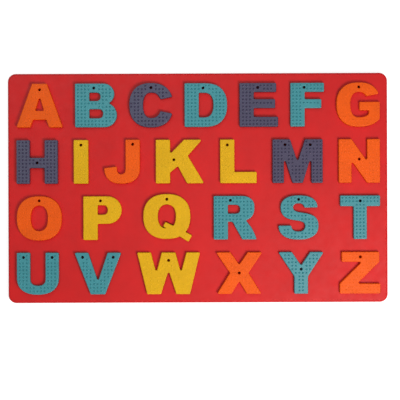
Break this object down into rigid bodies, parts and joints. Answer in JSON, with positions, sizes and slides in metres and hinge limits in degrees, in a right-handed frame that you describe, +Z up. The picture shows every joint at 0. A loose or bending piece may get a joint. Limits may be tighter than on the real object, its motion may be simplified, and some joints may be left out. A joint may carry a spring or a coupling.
{
  "type": "silicone alphabet puzzle",
  "caption": "Flat silicone tray with a shaped pocket for each capital letter, holding loose dotted silicone letters that lift out for matching play.",
  "frame": {"origin": "middle of the tray's underside", "axes": "+X along the rows as they are read, +Y from the last row to the first, +Z up out of the pockets"},
  "size_m": [0.378, 0.2284, 0.0135],
  "materials": {
    "tray_red": "satin",
    "letter_orange": "satin",
    "letter_teal": "satin",
    "letter_navy": "satin",
    "letter_yellow": "satin"
  },
  "bodies": {
    "tray": {"tray": "tray_red"},
    "letter_a": {"letter_a": "letter_orange"},
    "letter_b": {"letter_b": "letter_teal"},
    "letter_c": {"letter_c": "letter_navy"},
    "letter_d": {"letter_d": "letter_teal"},
    "letter_e": {"letter_e": "letter_navy"},
    "letter_f": {"letter_f": "letter_teal"},
    "letter_g": {"letter_g": "letter_orange"},
    "letter_h": {"letter_h": "letter_navy"},
    "letter_i": {"letter_i": "letter_yellow"},
    "letter_j": {"letter_j": "letter_orange"},
    "letter_k": {"letter_k": "letter_yellow"},
    "letter_l": {"letter_l": "letter_yellow"},
    "letter_m": {"letter_m": "letter_navy"},
    "letter_n": {"letter_n": "letter_orange"},
    "letter_o": {"letter_o": "letter_orange"},
    "letter_p": {"letter_p": "letter_yellow"},
    "letter_q": {"letter_q": "letter_yellow"},
    "letter_r": {"letter_r": "letter_teal"},
    "letter_s": {"letter_s": "letter_teal"},
    "letter_t": {"letter_t": "letter_teal"},
    "letter_u": {"letter_u": "letter_teal"},
    "letter_v": {"letter_v": "letter_teal"},
    "letter_w": {"letter_w": "letter_yellow"},
    "letter_x": {"letter_x": "letter_orange"},
    "letter_y": {"letter_y": "letter_teal"},
    "letter_z": {"letter_z": "letter_orange"}
  },
  "joints": [
    {"name": "letter_a_lift", "type": "slide", "parent": "tray", "child": "letter_a", "axis": [0, 0, 1], "range_m": [0, 0.02]},
    {"name": "letter_b_lift", "type": "slide", "parent": "tray", "child": "letter_b", "axis": [0, 0, 1], "range_m": [0, 0.02]},
    {"name": "letter_c_lift", "type": "slide", "parent": "tray", "child": "letter_c", "axis": [0, 0, 1], "range_m": [0, 0.02]},
    {"name": "letter_d_lift", "type": "slide", "parent": "tray", "child": "letter_d", "axis": [0, 0, 1], "range_m": [0, 0.02]},
    {"name": "letter_e_lift", "type": "slide", "parent": "tray", "child": "letter_e", "axis": [0, 0, 1], "range_m": [0, 0.02]},
    {"name": "letter_f_lift", "type": "slide", "parent": "tray", "child": "letter_f", "axis": [0, 0, 1], "range_m": [0, 0.02]},
    {"name": "letter_g_lift", "type": "slide", "parent": "tray", "child": "letter_g", "axis": [0, 0, 1], "range_m": [0, 0.02]},
    {"name": "letter_h_lift", "type": "slide", "parent": "tray", "child": "letter_h", "axis": [0, 0, 1], "range_m": [0, 0.02]},
    {"name": "letter_i_lift", "type": "slide", "parent": "tray", "child": "letter_i", "axis": [0, 0, 1], "range_m": [0, 0.02]},
    {"name": "letter_j_lift", "type": "slide", "parent": "tray", "child": "letter_j", "axis": [0, 0, 1], "range_m": [0, 0.02]},
    {"name": "letter_k_lift", "type": "slide", "parent": "tray", "child": "letter_k", "axis": [0, 0, 1], "range_m": [0, 0.02]},
    {"name": "letter_l_lift", "type": "slide", "parent": "tray", "child": "letter_l", "axis": [0, 0, 1], "range_m": [0, 0.02]},
    {"name": "letter_m_lift", "type": "slide", "parent": "tray", "child": "letter_m", "axis": [0, 0, 1], "range_m": [0, 0.02]},
    {"name": "letter_n_lift", "type": "slide", "parent": "tray", "child": "letter_n", "axis": [0, 0, 1], "range_m": [0, 0.02]},
    {"name": "letter_o_lift", "type": "slide", "parent": "tray", "child": "letter_o", "axis": [0, 0, 1], "range_m": [0, 0.02]},
    {"name": "letter_p_lift", "type": "slide", "parent": "tray", "child": "letter_p", "axis": [0, 0, 1], "range_m": [0, 0.02]},
    {"name": "letter_q_lift", "type": "slide", "parent": "tray", "child": "letter_q", "axis": [0, 0, 1], "range_m": [0, 0.02]},
    {"name": "letter_r_lift", "type": "slide", "parent": "tray", "child": "letter_r", "axis": [0, 0, 1], "range_m": [0, 0.02]},
    {"name": "letter_s_lift", "type": "slide", "parent": "tray", "child": "letter_s", "axis": [0, 0, 1], "range_m": [0, 0.02]},
    {"name": "letter_t_lift", "type": "slide", "parent": "tray", "child": "letter_t", "axis": [0, 0, 1], "range_m": [0, 0.02]},
    {"name": "letter_u_lift", "type": "slide", "parent": "tray", "child": "letter_u", "axis": [0, 0, 1], "range_m": [0, 0.02]},
    {"name": "letter_v_lift", "type": "slide", "parent": "tray", "child": "letter_v", "axis": [0, 0, 1], "range_m": [0, 0.02]},
    {"name": "letter_w_lift", "type": "slide", "parent": "tray", "child": "letter_w", "axis": [0, 0, 1], "range_m": [0, 0.02]},
    {"name": "letter_x_lift", "type": "slide", "parent": "tray", "child": "letter_x", "axis": [0, 0, 1], "range_m": [0, 0.02]},
    {"name": "letter_y_lift", "type": "slide", "parent": "tray", "child": "letter_y", "axis": [0, 0, 1], "range_m": [0, 0.02]},
    {"name": "letter_z_lift", "type": "slide", "parent": "tray", "child": "letter_z", "axis": [0, 0, 1], "range_m": [0, 0.02]}
  ]
}
